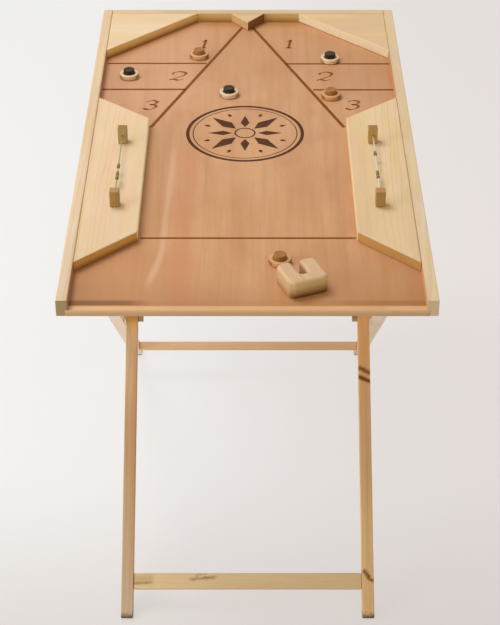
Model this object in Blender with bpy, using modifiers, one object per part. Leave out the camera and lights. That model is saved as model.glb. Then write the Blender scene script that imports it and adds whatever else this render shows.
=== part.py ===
"""Magnetic shuffleboard table: a framed wooden tray on a scissor stand that folds flat under it.

X runs across the table, Y from the player's end to the far end, Z up from the floor.
All sizes are in metres.
"""
import math

import bmesh
import bpy
from mathutils import Matrix, Vector

# Tray frame and playing panel
TABLE_WIDTH = 0.610
TABLE_LENGTH = 1.114
RIM_HEIGHT = 0.722
RAIL_THICKNESS = 0.019
RAIL_HEIGHT = 0.030
RIM_DEPTH = 0.019
PANEL_THICKNESS = 0.006
GROOVE_DEPTH = 0.006
FRONT_RAIL_RISE = 0.0005
FRONT_REBATE = 0.004
FRONT_LAP = 0.005

# Bumper boards on the panel, level with the rails
CORNER_LEG = 0.179
WEDGE_BASE = 0.070
WEDGE_DEPTH = 0.046
BLOCK_WIDTH = 0.100
BLOCK_LENGTH = 0.593
BLOCK_BACK_Y = 0.150
BLOCK_BACK_TAPER = 0.085
BLOCK_FRONT_TAPER = 0.096

# Score keepers: two posts, a rod and sliding beads on each side block
POST_SIZE = 0.017
POST_HEIGHT = 0.030
POST_INSET = 0.057
SCORE_BACK_Y = -0.029
SCORE_SPAN = 0.229
ROD_RADIUS = 0.0013
ROD_RISE = 0.016
ROD_SEAT = 0.010
BEAD_RADIUS = 0.003
BEAD_LENGTH = 0.011
LEFT_BEADS = (0.121, 0.150, 0.162)
RIGHT_BEADS = (0.0755, 0.1465, 0.1585)

# Pucks: a ring with a taller magnetic core. Each place is (x, y) as shares of half the clear width and of half
# the table's length
PUCK_RADIUS = 0.019
PUCK_HEIGHT = 0.009
CORE_RADIUS = 0.011
CORE_HEIGHT = 0.017
DARK_PUCKS = ((-0.8245, 0.4955), (-0.1280, 0.3519), (0.5804, 0.6266))
BROWN_PUCKS = ((-0.3462, 0.6589), (0.5664, 0.3375), (0.1888, -0.7433))

# Shooter: a hand block with a slot that faces the puck, placed as the pucks are
SHOOTER_WIDTH = 0.069
SHOOTER_LENGTH = 0.065
SHOOTER_HEIGHT = 0.030
SHOOTER_PLACE = (0.3101, -0.8689)
SHOOTER_TURN = math.radians(22.5)
SLOT_WIDTH = 0.014
SLOT_DEPTH = 0.041
SHOOTER_CORNER = 0.010
SHOOTER_EDGE = 0.004
MAGNET_RADIUS = 0.005
MAGNET_DEPTH = 0.005

# Scissor stand
LEG_ANGLE = math.radians(41.6)
LEG_THICKNESS = 0.022
LEG_DEPTH = 0.020
UPPER_ARM = 0.432
TOE_RADIUS = 0.0065
HINGE_FROM_FRONT = 0.135
HINGE_DROP = 0.034
LEG_INSET = 0.0385
STRETCHER_WIDTH = 0.029
STRETCHER_THICKNESS = 0.016
OUTER_STRETCHER_RISE = 0.103
INNER_STRETCHER_RISE = 0.067
TENON_WIDTH = 0.020
TENON_THICKNESS = 0.008
TENON_LENGTH = 0.012
BAR_RADIUS = 0.010
BAR_TENON_RADIUS = 0.006

# Bolts, washers and clips of the stand
BOLT_RADIUS = 0.004
BOLT_HEAD_RADIUS = 0.008
BOLT_HEAD_HEIGHT = 0.004
HINGE_HEAD_HEIGHT = 0.002
HINGE_SCREW_DEPTH = 0.018
HINGE_BLOCK_LENGTH = 0.050
HINGE_BLOCK_BELOW = 0.016
WASHER_RADIUS = 0.009
WASHER_GAP = 0.0045
NUT_RADIUS = 0.0065
NUT_HEIGHT = 0.010
CLIP_INSET = 0.071
CLIP_WIDTH = 0.024
CLIP_LENGTH = 0.030
CLIP_WALL = 0.0025
CLIP_MOUTH = 0.016
PAD_WIDTH = 0.060
PAD_LENGTH = 0.056

# Clearances and edge rounding
GLUE_GAP = 0.0003
RUNNING_GAP = 0.0003
EDGE = 0.0015
FINE_EDGE = 0.0008
ROUND_STEPS = 32
SMALL_STEPS = 16

# Heights and faces that several pieces share
PLAY_Z = RIM_HEIGHT - RIM_DEPTH
PANEL_BOTTOM = PLAY_Z - PANEL_THICKNESS
RAIL_BOTTOM = RIM_HEIGHT - RAIL_HEIGHT
INNER_X = TABLE_WIDTH / 2 - RAIL_THICKNESS
BACK_Y = TABLE_LENGTH / 2 - RAIL_THICKNESS
FRONT_Y = -TABLE_LENGTH / 2
PANEL_FRONT = FRONT_Y + RAIL_THICKNESS - FRONT_REBATE + GLUE_GAP
PANEL_BACK = BACK_Y + GROOVE_DEPTH - GLUE_GAP
PANEL_HALF = INNER_X + GROOVE_DEPTH - GLUE_GAP
POST_X = INNER_X - POST_INSET
SCORE_FRONT_Y = SCORE_BACK_Y - SCORE_SPAN
ROD_Z = RIM_HEIGHT + GLUE_GAP + ROD_RISE
HINGE_Z = PANEL_BOTTOM - HINGE_DROP
PIVOT_Z = HINGE_Z - UPPER_ARM * math.sin(LEG_ANGLE)
LOWER_ARM = PIVOT_Z / math.sin(LEG_ANGLE)
HINGE_Y = FRONT_Y + HINGE_FROM_FRONT
PIVOT_Y = HINGE_Y + UPPER_ARM * math.cos(LEG_ANGLE)
BAR_Y = PIVOT_Y + UPPER_ARM * math.cos(LEG_ANGLE)
OUTER_X = INNER_X - LEG_INSET
INNER_LEG_X = OUTER_X - LEG_THICKNESS - WASHER_GAP
CLIP_X = INNER_LEG_X - CLIP_INSET

SIDES = {"left": -1, "right": 1}
ACROSS = Matrix(((0, 0, 1, 0), (1, 0, 0, 0), (0, 1, 0, 0), (0, 0, 0, 1)))


def new_collection(name):
    collection = bpy.data.collections.new(name)
    bpy.context.scene.collection.children.link(collection)
    return collection


def new_material(name, colour, roughness, metallic=0.0):
    material = bpy.data.materials.new(name)
    material.use_nodes = True
    shader = material.node_tree.nodes["Principled BSDF"]
    shader.inputs["Base Color"].default_value = (*colour, 1)
    shader.inputs["Roughness"].default_value = roughness
    shader.inputs["Metallic"].default_value = metallic
    return material


def add_part(name, mesh, matrix, material, edge=0.0):
    """A named part of the table; edge is the radius that its sharp edges are rounded to."""
    mesh.materials.clear()
    mesh.materials.append(MATERIALS[material])
    part = bpy.data.objects.new(name, mesh)
    part.matrix_world = matrix
    PARTS.objects.link(part)
    if edge:
        rounding = part.modifiers.new("Rounded edges", "BEVEL")
        rounding.width = edge
        rounding.segments = 2
        rounding.limit_method = "ANGLE"
        rounding.angle_limit = math.radians(35)
    return part


def add_cutter(name, mesh, matrix):
    cutter = bpy.data.objects.new(name, mesh)
    cutter.matrix_world = matrix
    cutter.hide_render = True
    cutter.display_type = "WIRE"
    CUTTERS.objects.link(cutter)
    return cutter


def cut(part, cutter):
    difference = part.modifiers.new("Cut", "BOOLEAN")
    difference.operation = "DIFFERENCE"
    difference.solver = "EXACT"
    difference.object = cutter


def mesh_from(name, bm):
    mesh = bpy.data.meshes.new(name)
    bm.to_mesh(mesh)
    bm.free()
    return mesh


def box_mesh(name, size):
    bm = bmesh.new()
    bmesh.ops.create_cube(bm, size=1)
    bmesh.ops.scale(bm, vec=size, verts=bm.verts)
    return mesh_from(name, bm)


def span(low, high):
    """Size and middle of the box between two corners."""
    low, high = Vector(low), Vector(high)
    return high - low, Matrix.Translation((low + high) / 2)


def box_part(name, low, high, material, edge=EDGE):
    size, middle = span(low, high)
    return add_part(name, box_mesh(name, size), middle, material, edge)


def box_cutter(name, low, high):
    size, middle = span(low, high)
    return add_cutter(name, box_mesh(name, size), middle)


def rod_mesh(name, radius, length, steps=SMALL_STEPS):
    bm = bmesh.new()
    bmesh.ops.create_cone(bm, cap_ends=True, segments=steps, radius1=radius, radius2=radius, depth=length)
    mesh = mesh_from(name, bm)
    mesh.shade_smooth()
    mesh.set_sharp_from_angle(angle=math.radians(40))
    return mesh


def aim(axis, place):
    """Matrix that lays a shape's own Z along an axis, at a place."""
    return Matrix.Translation(place) @ Vector(axis).to_track_quat("Z", "Y").to_matrix().to_4x4()


def arc(centre, radius, start, end, steps):
    """Points on an arc from one angle to another, both included."""
    turn = (end - start) / steps
    return [(centre[0] + radius * math.cos(start + turn * i), centre[1] + radius * math.sin(start + turn * i))
            for i in range(steps + 1)]


def ring_of_points(centre, radius):
    return arc(centre, radius, 0, 2 * math.pi, SMALL_STEPS)[:-1]


def outline_mesh(name, loops, thickness):
    """Solid of an outline, with any further loops as holes, centred on its own plane."""
    curve = bpy.data.curves.new(name, "CURVE")
    curve.dimensions = "2D"
    curve.fill_mode = "BOTH"
    curve.extrude = thickness / 2
    for loop in loops:
        spline = curve.splines.new("POLY")
        spline.points.add(len(loop) - 1)
        for point, (x, y) in zip(spline.points, loop):
            point.co = (x, y, 0, 1)
        spline.use_cyclic_u = True
    drawing = bpy.data.objects.new(name, curve)
    CUTTERS.objects.link(drawing)
    flat = bpy.data.meshes.new_from_object(drawing.evaluated_get(bpy.context.evaluated_depsgraph_get()))
    bpy.data.objects.remove(drawing)
    bm = bmesh.new()
    bm.from_mesh(flat)
    bmesh.ops.remove_doubles(bm, verts=bm.verts, dist=1e-6)
    bmesh.ops.dissolve_limit(bm, angle_limit=0.001, verts=bm.verts, edges=bm.edges)
    bmesh.ops.recalc_face_normals(bm, faces=bm.faces)
    bpy.data.meshes.remove(flat)
    return mesh_from(name, bm)


def turned_part(name, profile, matrix, material, ring=False, steps=SMALL_STEPS):
    """Turned piece from (radius, height) points that run down its outer side; a ring closes on itself."""
    mesh = bpy.data.meshes.new(name)
    edges = [(i, i + 1) for i in range(len(profile) - 1)]
    if ring:
        edges.append((len(profile) - 1, 0))
    mesh.from_pydata([(radius, 0, height) for radius, height in profile], edges, [])
    part = add_part(name, mesh, matrix, material)
    turn = part.modifiers.new("Turned", "SCREW")
    turn.steps = steps
    turn.render_steps = steps
    turn.use_merge_vertices = True
    turn.merge_threshold = 1e-5
    turn.use_smooth_shade = True
    return part


def round_hole(part, name, axis, place, radius, depth):
    """Hole of a given depth that starts at a place on the surface and runs in along an axis."""
    axis = Vector(axis)
    middle = Vector(place) + axis * (depth / 2 - EDGE)
    cut(part, add_cutter(name, rod_mesh(name, radius, depth + 2 * EDGE), aim(axis, middle)))


def hang_on(parts, joint_name, place):
    """Parent the parts of a moving body to an empty on its joint's axis."""
    joint = bpy.data.objects.new(joint_name, None)
    joint.location = place
    PARTS.objects.link(joint)
    for part in parts:
        part.parent = joint
        part.matrix_parent_inverse = Matrix.Translation(-Vector(place))


def build_frame():
    """Panel in the grooves of the side and back rails, and on the rebate of the low front rail, whose ends lap
    into notches in the side rails."""
    box_part("play_panel", (-PANEL_HALF, PANEL_FRONT, PANEL_BOTTOM), (PANEL_HALF, PANEL_BACK, PLAY_Z),
             "plywood", FINE_EDGE)
    groove_low = PANEL_BOTTOM - GLUE_GAP
    groove_high = PLAY_Z + GLUE_GAP
    for side, sign in SIDES.items():
        near, far = sorted((sign * INNER_X, sign * TABLE_WIDTH / 2))
        rail = box_part(f"{side}_rail", (near, FRONT_Y, RAIL_BOTTOM), (far, -FRONT_Y, RIM_HEIGHT), "pale_wood")
        near, far = sorted((sign * (INNER_X - RAIL_THICKNESS), sign * (INNER_X + GROOVE_DEPTH)))
        cut(rail, box_cutter(f"{side}_groove", (near, PANEL_FRONT - GLUE_GAP, groove_low),
                             (far, PANEL_BACK + GLUE_GAP, groove_high)))
        near, far = sorted((sign * (INNER_X - RAIL_THICKNESS), sign * (INNER_X + FRONT_LAP + GLUE_GAP)))
        cut(rail, box_cutter(f"{side}_front_notch", (near, FRONT_Y - RAIL_THICKNESS, RAIL_BOTTOM - RAIL_THICKNESS),
                             (far, FRONT_Y + RAIL_THICKNESS + GLUE_GAP, PLAY_Z + FRONT_RAIL_RISE + GLUE_GAP)))
    rail_half = INNER_X - GLUE_GAP
    back = box_part("back_rail", (-rail_half, BACK_Y, RAIL_BOTTOM), (rail_half, -FRONT_Y, RIM_HEIGHT), "pale_wood")
    cut(back, box_cutter("back_groove", (-INNER_X - RAIL_THICKNESS, BACK_Y - RAIL_THICKNESS, groove_low),
                         (INNER_X + RAIL_THICKNESS, BACK_Y + GROOVE_DEPTH, groove_high)))
    inner_y = FRONT_Y + RAIL_THICKNESS
    step_y = inner_y - FRONT_REBATE
    top = PLAY_Z + FRONT_RAIL_RISE
    section = [(FRONT_Y, RAIL_BOTTOM), (inner_y, RAIL_BOTTOM), (inner_y, groove_low), (step_y, groove_low),
               (step_y, top), (FRONT_Y, top)]
    add_part("front_rail", outline_mesh("front_rail", [section], 2 * (INNER_X + FRONT_LAP)), ACROSS, "pale_wood", FINE_EDGE)


def build_bumpers():
    """Corner boards, centre wedge and side blocks, glued on the panel level with the rim."""
    thickness = RIM_DEPTH - GLUE_GAP
    level = Matrix.Translation((0, 0, RIM_HEIGHT - thickness / 2))
    back = BACK_Y - GLUE_GAP
    for side, sign in SIDES.items():
        outer = INNER_X - GLUE_GAP
        corner = [(outer, back), (outer, back - CORNER_LEG), (outer - CORNER_LEG, back)]
        inner = outer - BLOCK_WIDTH
        front = BLOCK_BACK_Y - BLOCK_LENGTH
        block = [(outer, BLOCK_BACK_Y), (outer, front), (inner, front + BLOCK_FRONT_TAPER),
                 (inner, BLOCK_BACK_Y - BLOCK_BACK_TAPER)]
        for name, outline in (("corner_board", corner), ("side_block", block)):
            name = f"{side}_{name}"
            points = [(sign * x, y) for x, y in outline]
            add_part(name, outline_mesh(name, [points], thickness), level, "pale_wood", EDGE)
    wedge = [(-WEDGE_BASE / 2, back), (0, back - WEDGE_DEPTH), (WEDGE_BASE / 2, back)]
    add_part("centre_wedge", outline_mesh("centre_wedge", [wedge], thickness), level, "pale_wood", EDGE)


def build_score_keepers():
    """A steel rod between two posts on each side block, with beads that slide along it."""
    foot = RIM_HEIGHT + GLUE_GAP
    seat = ROD_SEAT - GLUE_GAP
    rod_start = SCORE_BACK_Y - POST_SIZE / 2 + seat
    rod_end = SCORE_FRONT_Y + POST_SIZE / 2 - seat
    bore = ROD_RADIUS + RUNNING_GAP
    half = BEAD_LENGTH / 2
    bead_profile = [(bore, half), (BEAD_RADIUS * 0.8, half), (BEAD_RADIUS, half * 0.6), (BEAD_RADIUS, -half * 0.6),
                    (BEAD_RADIUS * 0.8, -half), (bore, -half)]
    for side, sign, pitches in (("left", -1, LEFT_BEADS), ("right", 1, RIGHT_BEADS)):
        x = sign * POST_X
        for end, y, inward in (("back", SCORE_BACK_Y, -1), ("front", SCORE_FRONT_Y, 1)):
            r = POST_SIZE / 2
            post = box_part(f"{side}_score_post_{end}", (x - r, y - r, foot), (x + r, y + r, foot + POST_HEIGHT),
                            "pale_wood")
            mouth = (x, y + inward * r, ROD_Z)
            round_hole(post, f"{side}_{end}_rod_hole", (0, -inward, 0), mouth, ROD_RADIUS + GLUE_GAP, ROD_SEAT)
        middle = (x, (rod_start + rod_end) / 2, ROD_Z)
        name = f"{side}_score_rod"
        add_part(name, rod_mesh(name, ROD_RADIUS, rod_start - rod_end), aim((0, 1, 0), middle), "steel")
        for number, pitch in enumerate(pitches, 1):
            place = (x, SCORE_BACK_Y - pitch, ROD_Z)
            turned_part(f"{side}_score_bead_{number}", bead_profile, aim((0, 1, 0), place), "bead", ring=True)


def on_panel(share):
    """Point on the panel's face from shares of half its clear width and half the table's length."""
    return Vector((share[0] * INNER_X, share[1] * TABLE_LENGTH / 2, PLAY_Z + RUNNING_GAP))


def build_pucks():
    """Six pucks on the panel: a turned wooden ring round a magnetic core that stands above it."""
    bore = CORE_RADIUS + GLUE_GAP
    chamfer = PUCK_HEIGHT / 6
    ring = [(bore, PUCK_HEIGHT), (PUCK_RADIUS - chamfer, PUCK_HEIGHT), (PUCK_RADIUS, PUCK_HEIGHT - chamfer),
            (PUCK_RADIUS, chamfer), (PUCK_RADIUS - chamfer, 0), (bore, 0)]
    core = [(0, CORE_HEIGHT), (CORE_RADIUS - chamfer, CORE_HEIGHT), (CORE_RADIUS, CORE_HEIGHT - chamfer),
            (CORE_RADIUS, 0), (0, 0)]
    for team, places, ring_wood, core_finish in (("dark", DARK_PUCKS, "pale_wood", "black_core"),
                                                 ("brown", BROWN_PUCKS, "tan_wood", "brown_core")):
        for number, place in enumerate(places, 1):
            seat = Matrix.Translation(on_panel(place))
            turned_part(f"{team}_puck_ring_{number}", ring, seat, ring_wood, ring=True, steps=ROUND_STEPS)
            turned_part(f"{team}_puck_core_{number}", core, seat, core_finish, steps=ROUND_STEPS)


def build_shooter():
    """U-shaped hand block; a magnet in the closed end of its slot drives the puck off."""
    half_w, half_l, slot = SHOOTER_WIDTH / 2, SHOOTER_LENGTH / 2, SLOT_WIDTH / 2
    corner = SHOOTER_CORNER
    quarter = math.pi / 2
    slot_end = half_l - SLOT_DEPTH + slot
    outline = [(slot, half_l)]
    outline += arc((half_w - corner, half_l - corner), corner, quarter, 0, 8)
    outline += arc((half_w - corner, corner - half_l), corner, 0, -quarter, 8)
    outline += arc((corner - half_w, corner - half_l), corner, -quarter, -2 * quarter, 8)
    outline += arc((corner - half_w, half_l - corner), corner, 2 * quarter, quarter, 8)
    outline.append((-slot, half_l))
    outline += arc((0, slot_end), slot, -2 * quarter, 0, 12)
    turn = Matrix.Translation(on_panel(SHOOTER_PLACE)) @ Matrix.Rotation(SHOOTER_TURN, 4, "Z")
    middle = turn @ Matrix.Translation((0, 0, SHOOTER_HEIGHT / 2))
    block = add_part("shooter_block", outline_mesh("shooter_block", [outline], SHOOTER_HEIGHT), middle, "pale_wood",
                     SHOOTER_EDGE)
    slot_floor = Vector((0, half_l - SLOT_DEPTH, SHOOTER_HEIGHT / 2))
    pocket_start = slot_floor + Vector((0, slot, 0))
    pocket_end = slot_floor - Vector((0, MAGNET_DEPTH + GLUE_GAP, 0))
    pocket = rod_mesh("magnet_pocket", MAGNET_RADIUS + GLUE_GAP, (pocket_start - pocket_end).length)
    cut(block, add_cutter("magnet_pocket", pocket, turn @ aim((0, 1, 0), (pocket_start + pocket_end) / 2)))
    seat = slot_floor - Vector((0, MAGNET_DEPTH / 2, 0))
    magnet = rod_mesh("shooter_magnet", MAGNET_RADIUS, MAGNET_DEPTH)
    add_part("shooter_magnet", magnet, turn @ aim((0, 1, 0), seat), "black_core")


def leg_outline(toe_side):
    """Leg from its round top end to a level sole with a round toe; the scissor pivot is at the origin."""
    half = LEG_DEPTH / 2
    rise, run = math.sin(LEG_ANGLE), math.cos(LEG_ANGLE)
    outline = arc((-UPPER_ARM, 0), half, math.pi / 2, 3 * math.pi / 2, 12)
    outline.append((LOWER_ARM - half * run / rise, -half))
    toe_middle = (LOWER_ARM + ((half - TOE_RADIUS) * run - TOE_RADIUS) / rise, half - TOE_RADIUS)
    outline += arc(toe_middle, TOE_RADIUS, LEG_ANGLE - math.pi / 2, math.pi / 2, 10)
    return [(along, toe_side * across) for along, across in outline]


def build_leg_frame(frame, x_middle, tilt, toe_side, rise, top_hole):
    """Two legs and their tenoned stretcher, a rise up the leg; tilt turns a leg about X from lying along +Y."""
    lie = Matrix.Translation((0, PIVOT_Y, PIVOT_Z)) @ Matrix.Rotation(tilt, 4, "X") @ ACROSS
    along = LOWER_ARM - rise
    reach = x_middle - LEG_THICKNESS / 2 - GLUE_GAP
    parts = []
    for side, sign in SIDES.items():
        name = f"{frame}_leg_{side}"
        holes = [ring_of_points((0, 0), BOLT_RADIUS + RUNNING_GAP)]
        if top_hole:
            holes.append(ring_of_points((-UPPER_ARM, 0), top_hole))
        leg_mesh = outline_mesh(name, [leg_outline(toe_side)] + holes, LEG_THICKNESS)
        leg = add_part(name, leg_mesh, Matrix.Translation((sign * x_middle, 0, 0)) @ lie, "leg_wood", EDGE)
        pocket = (TENON_WIDTH + 2 * GLUE_GAP, TENON_THICKNESS + 2 * GLUE_GAP, 2 * (TENON_LENGTH + GLUE_GAP))
        mouth = lie @ Matrix.Translation((along, 0, sign * (x_middle - LEG_THICKNESS / 2)))
        cut(leg, add_cutter(f"{name}_mortise", box_mesh(f"{name}_mortise", pocket), mouth))
        parts.append(leg)
    name = f"{frame}_stretcher"
    half_w, half_t = STRETCHER_WIDTH / 2, TENON_WIDTH / 2
    tip = reach + TENON_LENGTH
    face = [(-half_w, -reach), (half_w, -reach), (half_w, reach), (-half_w, reach)]
    stretcher = add_part(name, outline_mesh(name, [face], STRETCHER_THICKNESS), lie @ stretcher_turn(along),
                         "leg_wood", EDGE)
    tongue = box_mesh(f"{name}_tenons", (2 * half_t, 2 * tip, TENON_THICKNESS))
    joined = stretcher.modifiers.new("Tenons", "BOOLEAN")
    joined.operation = "UNION"
    joined.solver = "EXACT"
    joined.object = add_cutter(f"{name}_tenons", tongue, lie @ stretcher_turn(along))
    parts.append(stretcher)
    return parts


def stretcher_turn(along):
    """Place of a stretcher on its legs: its length across the table, its face along the legs."""
    return Matrix.Translation((along, 0, 0)) @ Matrix.Rotation(math.pi / 2, 4, "X")


def build_stand():
    """Outer frame hinged under the tray's near end, inner frame bolted across it and clipped at its top bar."""
    outer = build_leg_frame("outer", OUTER_X, -LEG_ANGLE, 1, OUTER_STRETCHER_RISE, BOLT_RADIUS + RUNNING_GAP)
    inner = build_leg_frame("inner", INNER_LEG_X, LEG_ANGLE - math.pi, -1, INNER_STRETCHER_RISE, 0)
    inner_face = INNER_LEG_X - LEG_THICKNESS / 2
    outer_face = OUTER_X + LEG_THICKNESS / 2
    pivot = Vector((0, PIVOT_Y, PIVOT_Z))
    head = [(0, BOLT_HEAD_HEIGHT), (BOLT_HEAD_RADIUS * 0.6, BOLT_HEAD_HEIGHT),
            (BOLT_HEAD_RADIUS, BOLT_HEAD_HEIGHT * 0.3), (BOLT_HEAD_RADIUS, 0)]
    shank = outer_face - inner_face + 3 * GLUE_GAP + NUT_HEIGHT * 0.6
    bolt = head + [(BOLT_RADIUS, 0), (BOLT_RADIUS, -shank), (0, -shank)]
    thickness = WASHER_GAP - 2 * RUNNING_GAP
    washer = [(BOLT_RADIUS + RUNNING_GAP, thickness / 2), (WASHER_RADIUS, thickness / 2),
              (WASHER_RADIUS, -thickness / 2), (BOLT_RADIUS + RUNNING_GAP, -thickness / 2)]
    for side, sign in SIDES.items():
        out = Vector((sign, 0, 0))
        seat = pivot + out * (outer_face + RUNNING_GAP)
        outer.append(turned_part(f"pivot_bolt_{side}", bolt, aim(out, seat), "steel"))
        gap_middle = pivot + out * (inner_face + LEG_THICKNESS + WASHER_GAP / 2)
        outer.append(turned_part(f"pivot_washer_{side}", washer, aim(out, gap_middle), "steel", ring=True))
        nut_face = pivot + out * (inner_face - RUNNING_GAP)
        name = f"pivot_nut_{side}"
        nut = add_part(name, rod_mesh(name, NUT_RADIUS, NUT_HEIGHT, 6), aim(out, nut_face - out * NUT_HEIGHT / 2),
                       "dark_steel", FINE_EDGE)
        round_hole(nut, f"{name}_hole", -out, nut_face, BOLT_RADIUS + RUNNING_GAP, NUT_HEIGHT * 0.8)
        outer.append(nut)
    inner.append(build_top_bar(inner_face))
    for leg in inner[:2]:
        sign = 1 if leg.name.endswith("right") else -1
        mouth = Vector((sign * inner_face, BAR_Y, HINGE_Z))
        round_hole(leg, f"{leg.name}_bar_hole", (sign, 0, 0), mouth, BAR_TENON_RADIUS + GLUE_GAP,
                   TENON_LENGTH + 2 * GLUE_GAP)
    hang_on(outer, "outer_frame_hinge", (0, HINGE_Y, HINGE_Z))
    hang_on(inner, "inner_frame_pivot", (0, PIVOT_Y, PIVOT_Z))


def build_top_bar(inner_face):
    """Round bar between the tops of the inner legs, stepped down to a tenon at each end."""
    reach = inner_face - GLUE_GAP
    tip = reach + TENON_LENGTH
    bar = [(0, tip), (BAR_TENON_RADIUS, tip), (BAR_TENON_RADIUS, reach), (BAR_RADIUS, reach), (BAR_RADIUS, -reach),
           (BAR_TENON_RADIUS, -reach), (BAR_TENON_RADIUS, -tip), (0, -tip)]
    return turned_part("inner_top_bar", bar, aim((1, 0, 0), (0, BAR_Y, HINGE_Z)), "leg_wood",
                       steps=ROUND_STEPS)


def build_tray_fittings():
    """Hinge blocks with their screws for the outer legs, and snap clips on pads for the top bar."""
    top = PANEL_BOTTOM - GLUE_GAP
    leg_inside = OUTER_X - LEG_THICKNESS / 2
    block_inside = OUTER_X + LEG_THICKNESS / 2 + RUNNING_GAP
    block_outside = INNER_X - GLUE_GAP
    half = HINGE_BLOCK_LENGTH / 2
    screw_end = LEG_THICKNESS + 2 * RUNNING_GAP + HINGE_SCREW_DEPTH
    screw = [(0, HINGE_HEAD_HEIGHT), (BOLT_HEAD_RADIUS * 0.6, HINGE_HEAD_HEIGHT),
             (BOLT_HEAD_RADIUS, HINGE_HEAD_HEIGHT * 0.3), (BOLT_HEAD_RADIUS, 0), (BOLT_RADIUS, 0),
             (BOLT_RADIUS, -screw_end), (0, -screw_end)]
    for side, sign in SIDES.items():
        near, far = sorted((sign * block_inside, sign * block_outside))
        name = f"hinge_block_{side}"
        block = box_part(name, (near, HINGE_Y - half, HINGE_Z - HINGE_BLOCK_BELOW), (far, HINGE_Y + half, top),
                         "leg_wood")
        mouth = Vector((sign * block_inside, HINGE_Y, HINGE_Z))
        round_hole(block, f"{name}_hole", (sign, 0, 0), mouth, BOLT_RADIUS + GLUE_GAP, HINGE_SCREW_DEPTH + GLUE_GAP)
        head_seat = (sign * (leg_inside - RUNNING_GAP), HINGE_Y, HINGE_Z)
        turned_part(f"hinge_screw_{side}", screw, aim((-sign, 0, 0), head_seat), "steel")
        build_clip(side, sign, top)


def build_clip(side, sign, top):
    """Spring clip open at the bottom, whose jaws reach past the middle of the top bar, on a wooden pad."""
    socket = BAR_RADIUS + RUNNING_GAP
    roof = socket + CLIP_WALL
    pad_bottom = HINGE_Z + roof + GLUE_GAP
    x = sign * CLIP_X
    box_part(f"clip_pad_{side}", (x - PAD_WIDTH / 2, BAR_Y - PAD_LENGTH / 2, pad_bottom),
             (x + PAD_WIDTH / 2, BAR_Y + PAD_LENGTH / 2, top), "leg_wood")
    lip = math.asin(CLIP_MOUTH / 2 / socket)
    jaw = -socket * math.cos(lip)
    half = CLIP_LENGTH / 2
    outline = [(half, roof), (-half, roof), (-half, roof - CLIP_WALL), (-roof, 0), (-CLIP_MOUTH / 2 - CLIP_WALL, jaw)]
    outline += arc((0, 0), socket, -math.pi / 2 - lip, -5 * math.pi / 2 + lip, 24)
    outline += [(CLIP_MOUTH / 2 + CLIP_WALL, jaw), (roof, 0), (half, roof - CLIP_WALL)]
    name = f"bar_clip_{side}"
    add_part(name, outline_mesh(name, [outline], CLIP_WIDTH), Matrix.Translation((x, BAR_Y, HINGE_Z)) @ ACROSS, "clip")


for old in list(bpy.data.objects):
    bpy.data.objects.remove(old, do_unlink=True)

PARTS = new_collection("magnetic_shuffleboard_table")
CUTTERS = new_collection("cutters")
MATERIALS = {
    "pale_wood": new_material("pale_wood", (0.80, 0.62, 0.37), 0.45),
    "leg_wood": new_material("leg_wood", (0.68, 0.46, 0.23), 0.5),
    "plywood": new_material("plywood", (0.56, 0.30, 0.17), 0.4),
    "tan_wood": new_material("tan_wood", (0.62, 0.36, 0.15), 0.5),
    "steel": new_material("steel", (0.62, 0.61, 0.58), 0.25, 1.0),
    "dark_steel": new_material("dark_steel", (0.10, 0.08, 0.06), 0.4, 0.8),
    "bead": new_material("bead", (0.16, 0.12, 0.06), 0.35),
    "black_core": new_material("black_core", (0.02, 0.018, 0.016), 0.35),
    "brown_core": new_material("brown_core", (0.26, 0.12, 0.04), 0.4),
    "clip": new_material("clip", (0.05, 0.05, 0.05), 0.45),
}

build_frame()
build_bumpers()
build_score_keepers()
build_pucks()
build_shooter()
build_stand()
build_tray_fittings()
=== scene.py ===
"""Looks of the magnetic shuffleboard table: woods, print, turned pieces, studio and camera."""
import math

import bmesh
import bpy
import numpy as np
from mathutils import Matrix, Vector


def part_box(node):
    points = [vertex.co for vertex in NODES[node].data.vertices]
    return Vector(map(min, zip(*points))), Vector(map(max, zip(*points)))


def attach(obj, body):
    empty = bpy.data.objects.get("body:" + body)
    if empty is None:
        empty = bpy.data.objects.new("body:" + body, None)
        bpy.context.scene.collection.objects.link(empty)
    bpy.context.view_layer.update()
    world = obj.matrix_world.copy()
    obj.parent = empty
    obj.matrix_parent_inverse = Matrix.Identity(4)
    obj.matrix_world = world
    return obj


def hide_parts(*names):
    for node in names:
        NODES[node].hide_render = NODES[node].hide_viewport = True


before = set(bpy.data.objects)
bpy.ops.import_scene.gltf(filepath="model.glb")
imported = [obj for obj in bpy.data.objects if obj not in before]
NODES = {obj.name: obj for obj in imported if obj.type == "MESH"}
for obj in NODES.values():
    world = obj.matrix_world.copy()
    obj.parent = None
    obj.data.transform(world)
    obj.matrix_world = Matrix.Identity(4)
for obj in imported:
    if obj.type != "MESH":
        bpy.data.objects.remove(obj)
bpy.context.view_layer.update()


def middle_of(node):
    """Centre of a solid's box."""
    low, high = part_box(node)
    return (low + high) / 2


# Places shared by the pieces below, read from the solids
PLAY_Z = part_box("play_panel")[1].z
RIM_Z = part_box("left_rail")[1].z
PANEL_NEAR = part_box("play_panel")[0].y
JOINT_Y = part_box("front_rail")[1].y
RAIL_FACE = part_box("right_rail")[0].x
RAIL_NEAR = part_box("right_rail")[0].y
BLOCK_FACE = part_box("right_side_block")[0].x
BLOCK_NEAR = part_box("right_side_block")[0].y
BLOCK_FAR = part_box("right_side_block")[1].y
BOARD_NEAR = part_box("right_corner_board")[0].y
PIVOT = middle_of("pivot_nut_right")
TOP_BAR = middle_of("inner_top_bar")
LEG_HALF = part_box("inner_leg_right")[1].z - TOP_BAR.z
LEG_TILT = math.atan2(TOP_BAR.z - PIVOT.z, TOP_BAR.y - PIVOT.y)

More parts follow.
